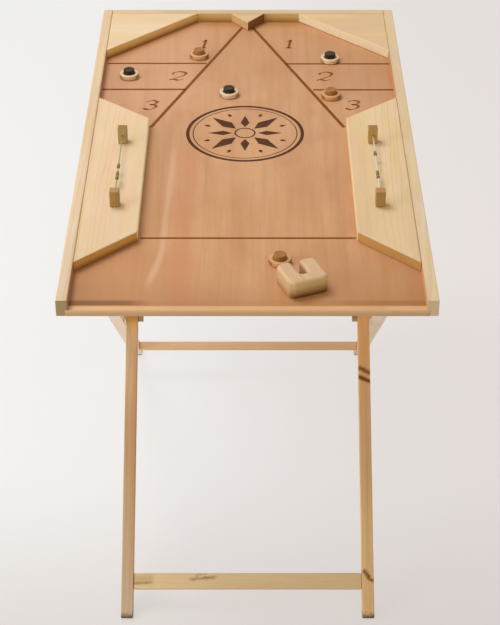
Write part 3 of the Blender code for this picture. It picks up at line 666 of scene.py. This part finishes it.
def grid_faces(rows, columns, wrap_rows=False, wrap_columns=False):
    """Quads of a grid whose points are numbered row by row; either way round may close on itself."""
    row, column = np.meshgrid(np.arange(rows - (not wrap_rows)), np.arange(columns - (not wrap_columns)),
                              indexing="ij")
    below, right = (row + 1) % rows, (column + 1) % columns
    upper, lower = row * columns, below * columns
    corners = [upper + column, lower + column, lower + right, upper + right]
    return np.stack(corners, -1).reshape(-1, 4).tolist()


def turned(profile, centre, axis, steps=64):
    """Closed surface of revolution: each profile point (radius, height) runs round the axis through the
    centre. A profile that starts and ends on the axis closes in two round caps, any other one in itself."""
    profile = np.asarray(profile, float)
    axis = np.array(Vector(axis).normalized())
    side = np.array(Vector(axis).orthogonal().normalized())
    angle = np.linspace(0, 2 * np.pi, steps, endpoint=False)
    spoke = np.cos(angle)[:, None] * side + np.sin(angle)[:, None] * np.cross(axis, side)
    capped = profile[0, 0] == 0
    if capped:
        profile = profile[1:-1]
    points = profile[:, :1, None] * spoke + profile[:, 1:, None] * axis + np.asarray(centre, float)
    rows = len(profile)
    faces = grid_faces(rows, steps, not capped, True)
    if capped:
        faces += [list(range(steps)), list(range(rows * steps - 1, (rows - 1) * steps - 1, -1))]
    return points.reshape(-1, 3), faces


def join(parts):
    """One point array and face list from several."""
    points, faces, start = [], [], 0
    for part_points, part_faces in parts:
        points.append(part_points)
        faces += [[corner + start for corner in face] for face in part_faces]
        start += len(part_points)
    return np.vstack(points), faces


def face_outwards(mesh):
    """Turn all faces of a closed mesh outwards."""
    shape = bmesh.new()
    shape.from_mesh(mesh)
    bmesh.ops.recalc_face_normals(shape, faces=shape.faces)
    shape.to_mesh(mesh)
    shape.free()


def mesh_piece(name, body, material, shape, replaced=(), smooth_angle=35.0):
    """A piece of a shape's points and faces, riding on a body in place of the solids it replaces."""
    points, faces = shape
    mesh = bpy.data.meshes.new(name)
    mesh.from_pydata(points.tolist(), [], faces)
    mesh.materials.append(material)
    mesh.shade_smooth()
    mesh.set_sharp_from_angle(angle=math.radians(smooth_angle))
    face_outwards(mesh)
    piece = bpy.data.objects.new(name, mesh)
    bpy.context.scene.collection.objects.link(piece)
    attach(piece, body)
    if replaced:
        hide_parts(*replaced)


# Print on the panel: a film of ink, drawn as flat bands
INK_TOP = PLAY_Z + 0.00012
INK_FILM = 0.00004
NIB_THICK, NIB_THIN, NIB_ANGLE = 0.0064, 0.0017, math.radians(30)
DIGIT_HEIGHT, DIGIT_SLANT, DIGIT_STEPS = 0.037, 0.22, 14


def ink(name, dark, pale):
    """Screen-printed ink: worn thin in small patches."""
    film = Finish(name)
    wear = film.fibres(Y, stretch=4.0, scale=420.0, detail=3.0)
    colour = film.ramp(wear, [(0.32, tone(*dark)), (0.72, tone(*pale))])
    return film.finish(colour, film.between(wear, 0.3, 0.8, 0.5, 0.7), Specular_IOR_Level=0.1)


def slab(points):
    """Prism of a flat outline: its points on top, the same points a film lower, and walls between."""
    count = len(points)
    low = points - np.array([0, 0, INK_FILM])
    here = np.arange(count)
    after = (here + 1) % count
    walls = np.stack([here, here + count, after + count, after], 1).tolist()
    return np.vstack([points, low]), [list(range(count)), list(range(2 * count - 1, count - 1, -1))] + walls


def stroke(path, half_width):
    """Flat band along a path: at each point the edges stand half a width off, square to the path."""
    path = np.asarray(path, float)
    heading = np.gradient(path, axis=0)
    heading /= np.linalg.norm(heading, axis=1)[:, None]
    square = np.stack([-heading[:, 1], heading[:, 0]], 1) * np.broadcast_to(half_width, len(path))[:, None]
    loop = np.vstack([path + square, (path - square)[::-1]])
    return slab(np.column_stack([loop, np.full(len(loop), INK_TOP)]))


def pen(knots, size, place):
    """Pen stroke through knots (Catmull-Rom curve), slanted, sized and placed; the nib is held at an angle,
    so the width grows with the sine of the angle between stroke and nib."""
    knots = np.asarray(knots, float)
    ends = np.vstack([2 * knots[0] - knots[1], knots, 2 * knots[-1] - knots[-2]])
    share = np.linspace(0, 1, DIGIT_STEPS, endpoint=False)[None, :, None]
    before, start, end, after = (ends[first:len(ends) - 3 + first][:, None] for first in range(4))
    square_term = (2 * before - 5 * start + 4 * end - after) * share ** 2
    cube_term = (3 * start - before - 3 * end + after) * share ** 3
    curve = (2 * start + (end - before) * share + square_term + cube_term) / 2
    path = np.vstack([curve.reshape(-1, 2), knots[-1]])
    path[:, 0] += DIGIT_SLANT * path[:, 1]
    path = path * size + place
    heading = np.gradient(path, axis=0)
    angle = np.arctan2(heading[:, 1], heading[:, 0]) - NIB_ANGLE
    return stroke(path, (NIB_THIN + (NIB_THICK - NIB_THIN) * np.abs(np.sin(angle))) / 2)


def hoop(centre, radius, width, steps=128):
    """Flat ring: a square-edged section carried round a circle."""
    inner, outer = radius - width / 2, radius + width / 2
    section = [(inner, 0), (outer, 0), (outer, -INK_FILM), (inner, -INK_FILM)]
    return turned(section, (*centre, INK_TOP), Z, steps)


def lozenges(centre, count, inner, outer, width, start):
    """Diamonds like the points of a compass, each from an inner to an outer radius, widest near a third."""
    angle = start + 2 * np.pi * np.arange(count) / count
    out = np.stack([np.cos(angle), np.sin(angle)], 1)
    across = np.stack([-out[:, 1], out[:, 0]], 1) * width / 2
    middle = inner + (outer - inner) * 0.36
    rings = np.stack([out * inner, out * middle - across, out * outer, out * middle + across], 1)
    flat = np.concatenate([rings + np.asarray(centre), np.full((count, 4, 1), INK_TOP)], 2)
    return [slab(diamond) for diamond in flat]


# Each line has its two ends and half its width
line_ends = [
    ((-0.009, 0.516), (-0.183, 0.062), 0.0034),
    ((0.007, 0.516), (0.182, 0.062), 0.0034),
    ((-0.282, 0.337), (-0.083, 0.337), 0.0029),
    ((-0.2855, 0.221), (-0.123, 0.221), 0.0031),
    ((0.077, 0.335), (0.2855, 0.335), 0.0030),
    ((0.128, 0.219), (0.2855, 0.219), 0.0030),
    ((-0.182, -0.337), (0.184, -0.337), 0.0027),
]
lines = [stroke([start, end], half_width) for start, end, half_width in line_ends]
mesh_piece("printed_lines", "tray", ink("line_ink", (122, 66, 18), (146, 88, 30)), join(lines))

# Each digit has the knots of its pen strokes, in a frame one unit high, and each number its place and width
DIGITS = {
    "1": [[(-0.28, 0.26), (-0.10, 0.38), (0.0, 0.52)],
          [(0.0, 0.52), (0.0, 0.0), (0.0, -0.5)],
          [(-0.26, -0.5), (0.0, -0.5), (0.26, -0.5)]],
    "2": [[(-0.36, 0.20), (-0.30, 0.42), (0.0, 0.52), (0.34, 0.36), (0.30, 0.08), (0.0, -0.20),
           (-0.36, -0.46)],
          [(-0.38, -0.46), (-0.12, -0.40), (0.14, -0.50), (0.40, -0.36)]],
    "3": [[(-0.34, 0.34), (-0.06, 0.52), (0.28, 0.36), (0.16, 0.10), (-0.08, 0.04)],
          [(-0.08, 0.04), (0.22, 0.0), (0.34, -0.24), (0.02, -0.52), (-0.36, -0.36)]],
}
score_numbers = [
    ("1", (-0.089, 0.428), 0.024),
    ("2", (-0.139, 0.280), 0.036),
    ("3", (-0.187, 0.154), 0.033),
    ("1", (0.086, 0.428), 0.024),
    ("2", (0.153, 0.278), 0.034),
    ("3", (0.203, 0.154), 0.034),
]
digit_strokes = [pen(knots, np.array([width, DIGIT_HEIGHT]), np.array(place))
                 for digit, place, width in score_numbers for knots in DIGITS[digit]]
mesh_piece("printed_numbers", "tray", ink("number_ink", (118, 68, 30), (150, 96, 54)),
           join(digit_strokes))

# Rosette: hoops of a radius and a width, and lozenges of a count, two radii, a width and a first angle
ROSETTE = (-0.005, 0.040)
rosette_hoops = [(0.1075, 0.0065), (0.0975, 0.0018), (0.0185, 0.0030)]
rosette_points = [(4, 0.024, 0.088, 0.024, np.pi / 4), (4, 0.024, 0.070, 0.017, 0.0),
                  (8, 0.070, 0.084, 0.008, np.pi / 8)]
rosette = [hoop(ROSETTE, radius, width) for radius, width in rosette_hoops]
for count, inner, outer, width, start in rosette_points:
    rosette += lozenges(ROSETTE, count, inner, outer, width, start)
mesh_piece("printed_rosette", "tray", ink("rosette_ink", (70, 40, 20), (98, 60, 34)), join(rosette),
           smooth_angle=20)

# Turned pieces: pucks, rods and beads
FIT_GAP = 0.0003
RING_EDGE, CORE_EDGE, CORE_DISH = 0.0022, 0.0016, 0.0006
ROD_EDGE, BEAD_EDGE = 0.0004, 0.0011


def ring_profile(inner, outer, low, high, radius):
    """Section of a turned ring: a rectangle with rounded corners."""
    return rounded([(inner, low), (outer, low), (outer, high), (inner, high)], radius)


def cap_profile(radius, low, high, edge, dish=0.0, hub=0.0008):
    """Half section of a turned disc from the axis below to the axis above: flat ends with rounded edges, the
    top hollowed to a dish that ends at a small hub."""
    turn = np.linspace(0, np.pi / 2, 7)
    bottom = np.stack([radius - edge + edge * np.sin(turn), low + edge - edge * np.cos(turn)], 1)
    top = np.stack([radius - edge + edge * np.cos(turn), high - edge + edge * np.sin(turn)], 1)
    inward = np.linspace(radius - edge, hub, 8)[1:]
    hollow = np.stack([inward, high - dish * (1 - (inward / (radius - edge)) ** 2)], 1)
    return np.vstack([[(0, low)], bottom, top, hollow, [(0, high - dish)]])


def moulded(name, dark, pale, gloss):
    """Moulded magnet or lacquered bead: fine speckle in colour and gloss."""
    core = Finish(name)
    speckle = core.noise(core.place, scale=900.0, detail=3.0)
    scuff = core.noise(core.place, scale=160.0, detail=3.0)
    wear = core.calc("MULTIPLY_ADD", scuff, 0.5, core.product(speckle, 0.5))
    colour = core.ramp(wear, [(0.35, tone(*dark)), (0.68, tone(*pale))])
    rough = core.between(scuff, 0.3, 0.7, gloss - 0.08, gloss + 0.1)
    return core.finish(colour, rough, speckle, relief=0.2, reach=0.0002, Specular_IOR_Level=0.2)


def metal(name, colour, dark, rough):
    """Drawn steel: fine lines and dull spots."""
    steel = Finish(name)
    spots = steel.noise(steel.place, scale=420.0, detail=3.0)
    lines = steel.fibres(Y, stretch=12.0, scale=2600.0)
    shade = steel.mix(steel.rise(spots, 0.45, 0.8, 0.6), tone(*colour), tone(*dark))
    rough = steel.between(lines, 0.3, 0.7, rough - 0.06, rough + 0.12)
    return steel.finish(shade, rough, lines, relief=0.15, reach=0.0001, Metallic=1.0)


PUCK_PALE = (tone(238, 216, 184), tone(230, 203, 167), tone(208, 172, 126))
PUCK_TAN = (tone(222, 176, 130), tone(212, 162, 114), tone(186, 130, 82))
PUCK_PITH = Vector((0.0, 0.03, 0.68))
BLACK_CORE = moulded("black_magnet", (38, 26, 15), (66, 49, 32), 0.42)
BROWN_CORE = moulded("brown_magnet", (150, 100, 48), (176, 124, 66), 0.45)
puck_sets = [
    ("dark", PUCK_PALE, "pale_wood", BLACK_CORE, "black_core"),
    ("brown", PUCK_TAN, "tan_wood", BROWN_CORE, "brown_core"),
]
for colour_name, tones, ring_slot, core_finish, core_slot in puck_sets:
    for number in (1, 2, 3):
        body = f"{colour_name}_puck_{number}"
        ring, core = f"{colour_name}_puck_ring_{number}", f"{colour_name}_puck_core_{number}"
        low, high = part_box(ring)
        core_low, core_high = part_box(core)
        centre = middle_of(ring).xy.to_3d()
        core_radius = (core_high.x - core_low.x) / 2
        wood = timber(f"wood_{ring}", X, tones, centre + PUCK_PITH, (0.31 * number, 0.2, 0.7))
        section = ring_profile(core_radius + FIT_GAP, (high.x - low.x) / 2, low.z, high.z, RING_EDGE)
        mesh_piece(f"turned_{ring}", body, wood, turned(section, centre, Z, 96), [ring])
        section = cap_profile(core_radius, core_low.z, core_high.z, CORE_EDGE, CORE_DISH)
        mesh_piece(f"turned_{core}", body, core_finish, turned(section, centre, Z), [core])

BEAD_LACQUER = moulded("bead_lacquer", (122, 104, 58), (156, 136, 80), 0.34)
# The rods are one steel; the left one's darker, warmer colour is a painted reflection of the warm wood around
# it
rod_steels = {
    "left": metal("left_rod_steel_painted_dim", (188, 172, 138), (156, 140, 110), 0.36),
    "right": metal("rod_steel", (238, 228, 206), (200, 186, 158), 0.36),
}
for side, rod_steel in rod_steels.items():
    rod = f"{side}_score_rod"
    low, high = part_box(rod)
    rod_radius, half_length = (high.x - low.x) / 2, (high.y - low.y) / 2
    section = cap_profile(rod_radius, -half_length, half_length, ROD_EDGE)
    mesh_piece(f"drawn_{rod}", "tray", rod_steel, turned(section, middle_of(rod), Y, 32), [rod])
    for number in (1, 2, 3):
        bead = f"{side}_score_bead_{number}"
        low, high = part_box(bead)
        radius, half_length = (high.x - low.x) / 2, (high.y - low.y) / 2
        section = ring_profile(rod_radius + FIT_GAP, radius, -half_length, half_length, BEAD_EDGE)
        mesh_piece(f"turned_{bead}", f"{side}_bead_{number}", BEAD_LACQUER,
                   turned(section, middle_of(bead), Y, 48), [bead])

# Fittings of the stand
NUT_STEEL = metal("browned_steel", (184, 162, 118), (138, 116, 80), 0.45)
CLIP_STEEL = metal("sprung_steel", (190, 186, 178), (150, 144, 134), 0.35)
fitting_steels = {
    "pivot_bolt": rod_steels["right"],
    "pivot_washer": rod_steels["right"],
    "pivot_nut": NUT_STEEL,
    "hinge_screw": rod_steels["right"],
    "bar_clip": CLIP_STEEL,
}
for fitting, steel in fitting_steels.items():
    for side in ("left", "right"):
        dress(f"{fitting}_{side}", steel)

# Shooter: a U-shaped block with soft edges
SHOOTER_HALF_WIDE, SHOOTER_HALF_LONG = 0.0345, 0.0325
SLOT_HALF, SLOT_DEPTH = 0.007, 0.041
LIP_RADIUS, SLOT_RADIUS, CORNER_RADIUS = 0.0072, 0.0068, 0.0115
TOP_EDGE, FOOT_EDGE = 0.0055, 0.0012
# Painted shade in the closed end of the slot: how far its centre lies ahead of the block's middle, and its
# radius
SHADE_SPOT_AHEAD, SHADE_SPOT_RADIUS = 0.0035, 0.0072
SHOOTER_TONES = (tone(228, 194, 158), tone(214, 179, 139), tone(172, 134, 92))


def soft_block(outline, height, edge, foot):
    """Block of a closed outline: at each level the outline steps in by the edge profile, a quarter circle at
    the top and a smaller one at the foot; square to the outline, to its left."""
    ahead = np.roll(outline, -1, 0) - np.roll(outline, 1, 0)
    ahead /= np.linalg.norm(ahead, axis=1)[:, None]
    inward = np.stack([-ahead[:, 1], ahead[:, 0]], 1)
    turn = np.linspace(0, np.pi / 2, 8)
    step_in = np.concatenate([foot * (1 - np.sin(turn)), edge * (1 - np.cos(turn))])
    level = np.concatenate([foot * (1 - np.cos(turn)), height - edge + edge * np.sin(turn)])
    rows = outline[None] + inward[None] * step_in[:, None, None]
    points = np.concatenate([rows, np.broadcast_to(level[:, None, None], rows.shape[:2] + (1,))], 2)
    count = len(outline)
    last = (len(level) - 1) * count
    faces = grid_faces(len(level), count, False, True)
    faces += [list(range(count - 1, -1, -1)), list(range(last, last + count))]
    return points.reshape(-1, 3), faces


def shooter_outline():
    """Outline of the block from above, with rounded corners: round its slot and on round the block, with the
    wood on the left hand."""
    wide, long, slot = SHOOTER_HALF_WIDE, SHOOTER_HALF_LONG, SLOT_HALF
    closed_end = long - SLOT_DEPTH
    slot_corners = [(slot, long), (slot, closed_end), (-slot, closed_end), (-slot, long)]
    block_corners = [(-wide, long), (-wide, -long), (wide, -long), (wide, long)]
    radii = [LIP_RADIUS, SLOT_RADIUS, SLOT_RADIUS, LIP_RADIUS] + 4 * [CORNER_RADIUS]
    return rounded(slot_corners + block_corners, radii, 10)


shooter_low, shooter_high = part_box("shooter_block")
shooter_foot = Vector((*middle_of("shooter_block").xy, shooter_low.z))
slot_shade_centre = shooter_foot + SHADE_SPOT_AHEAD * Vector(SHOOTER_FRONT)
# Painted light and shade on the shooter: a lighter tone on its front face and a darker one on its left face,
# for how the lamps fall on them, painted shade low on both faces, and painted shade in the closed end of its
# slot
shooter_shading = [
    painted_side_shading(SHOOTER_FRONT, 0.8, (232, 200, 142)),
    painted_side_shading(SHOOTER_LEFT, 0.85, (202, 168, 128)),
    painted_foot_shade(SHOOTER_FRONT, foot=0.008, top=0.024, depth=0.60, colour=(158, 114, 50)),
    painted_foot_shade(SHOOTER_FRONT, foot=0.001, top=0.012, depth=0.92, colour=(112, 60, 10)),
    painted_foot_shade(SHOOTER_LEFT, foot=0.002, top=0.018, depth=0.70, colour=(158, 112, 70)),
    painted_shade_spot(slot_shade_centre, Z, SHADE_SPOT_RADIUS, 0.8, (112, 66, 32)),
]
shooter_pith = shooter_foot + Vector((0.02, 0.01, -0.05))
shooter_wood = timber("wood_shooter_block", SHOOTER_GRAIN, SHOOTER_TONES, shooter_pith, (1.7, 0.4, 2.2),
                      spacing=0.0040, contrast=0.62, end_tone=tone(214, 176, 112), marks=shooter_shading)
points, faces = soft_block(shooter_outline(), shooter_high.z - shooter_low.z, TOP_EDGE, FOOT_EDGE)
points = points @ np.array(Matrix.Rotation(SHOOTER_TURN, 3, "Z")).T + np.array(shooter_foot)
mesh_piece("shaped_shooter_block", "shooter", shooter_wood, (points, faces), ["shooter_block"])
dress("shooter_magnet", BLACK_CORE)

# Studio: paper floor, room, lamps and camera
FLOOR_HALF = 9
GLOW_SHARE = 0.80
ROOM_LIGHT, ROOM_STRENGTH = (1, 0.93, 0.84, 1), 0.43
LAMP_TARGET = Vector((0, 0, 0.70))


def paper_floor():
    """Pale paper: a diffuse sheet that, seen directly or in a reflection, also glows in its own colour, so
    that the object's shadow on it stays faint. Its colour is painted light and shade: paler to the left,
    towards the lamps, and greyest in front."""
    paper = Finish("floor_paper")
    # Painted light: paler to the left, towards the lamps
    colour = paper.mix(paper.rise(paper.x, -0.7, 0.7), tone(245, 246, 245), tone(234, 228, 226))
    # Painted shade: greyer in front of the object
    before = paper.product(paper.fall(paper.y, -0.75, -0.05), paper.rise(paper.y, -1.9, -0.95))
    colour = paper.mix(before, colour, tone(219, 213, 210))
    away = paper.vector("DISTANCE", paper.place, (0, 0, 0), output="Value")
    colour = paper.mix(paper.rise(away, 2.5, 5.0), colour, tone(238, 232, 229))
    paper.finish(tone(236, 230, 226), 0.9)
    glow = paper.add("ShaderNodeEmission", {"Color": colour, "Strength": 1.0})
    share = paper.product(paper.seen(), GLOW_SHARE)
    sheet = paper.add("ShaderNodeMixShader", {0: share, 1: paper.shader.outputs[0], 2: glow})
    paper.feed(paper.tree.nodes["Material Output"].inputs["Surface"], sheet)
    return paper.material


floor_mesh = bpy.data.meshes.new("floor")
floor_corners = [(-FLOOR_HALF, -FLOOR_HALF, 0), (FLOOR_HALF, -FLOOR_HALF, 0), (FLOOR_HALF, FLOOR_HALF, 0),
                 (-FLOOR_HALF, FLOOR_HALF, 0)]
floor_mesh.from_pydata(floor_corners, [], [(0, 1, 2, 3)])
floor_mesh.materials.append(paper_floor())
floor = bpy.data.objects.new("floor", floor_mesh)
bpy.context.scene.collection.objects.link(floor)

world = bpy.data.worlds.new("studio")
bpy.context.scene.world = world
world.use_nodes = True
room = Nodes(world.node_tree)
light = room.tree.nodes["Background"]
room.feed(light.inputs["Color"], ROOM_LIGHT)
room.feed(light.inputs["Strength"], ROOM_STRENGTH)
wall = room.add("ShaderNodeBackground", {"Color": tone(226, 221, 218)})
backdrop = room.add("ShaderNodeMixShader", {0: room.seen(), 1: light.outputs[0], 2: wall})
room.feed(room.tree.nodes["World Output"].inputs["Surface"], backdrop)


def lamp(name, place, size, power, colour):
    """Soft lamp of a width and height at a place, turned to the tray."""
    data = bpy.data.lights.new(name, "AREA")
    data.shape = "RECTANGLE"
    data.size, data.size_y = size
    data.energy = power
    data.color = colour
    light = bpy.data.objects.new(name, data)
    light.location = place
    light.rotation_euler = (LAMP_TARGET - Vector(place)).to_track_quat("-Z", "Y").to_euler()
    light.visible_camera = False
    bpy.context.scene.collection.objects.link(light)


lamp("key_lamp", place=(-1.4, 0.95, 3.9), size=(1.8, 1.8), power=75, colour=(1, 0.99, 0.98))
lamp("right_lamp", place=(3.8, -0.4, 1.1), size=(2.6, 1.8), power=14, colour=(1, 0.95, 0.80))
lamp("left_lamp", place=(-3.30, -1.70, 1.5), size=(2.6, 1.8), power=72, colour=(1, 0.99, 0.98))

camera_data = bpy.data.cameras.new("camera")
camera_data.lens = 99.42
camera_data.sensor_width = 36
camera_data.clip_end = 60
camera = bpy.data.objects.new("camera", camera_data)
camera.location = (0.0043, -2.8336, 2.2356)
camera.rotation_euler = (math.radians(55.99), 0, 0)
bpy.context.scene.collection.objects.link(camera)
bpy.context.scene.camera = camera
bpy.context.scene.view_settings.view_transform = "Standard"
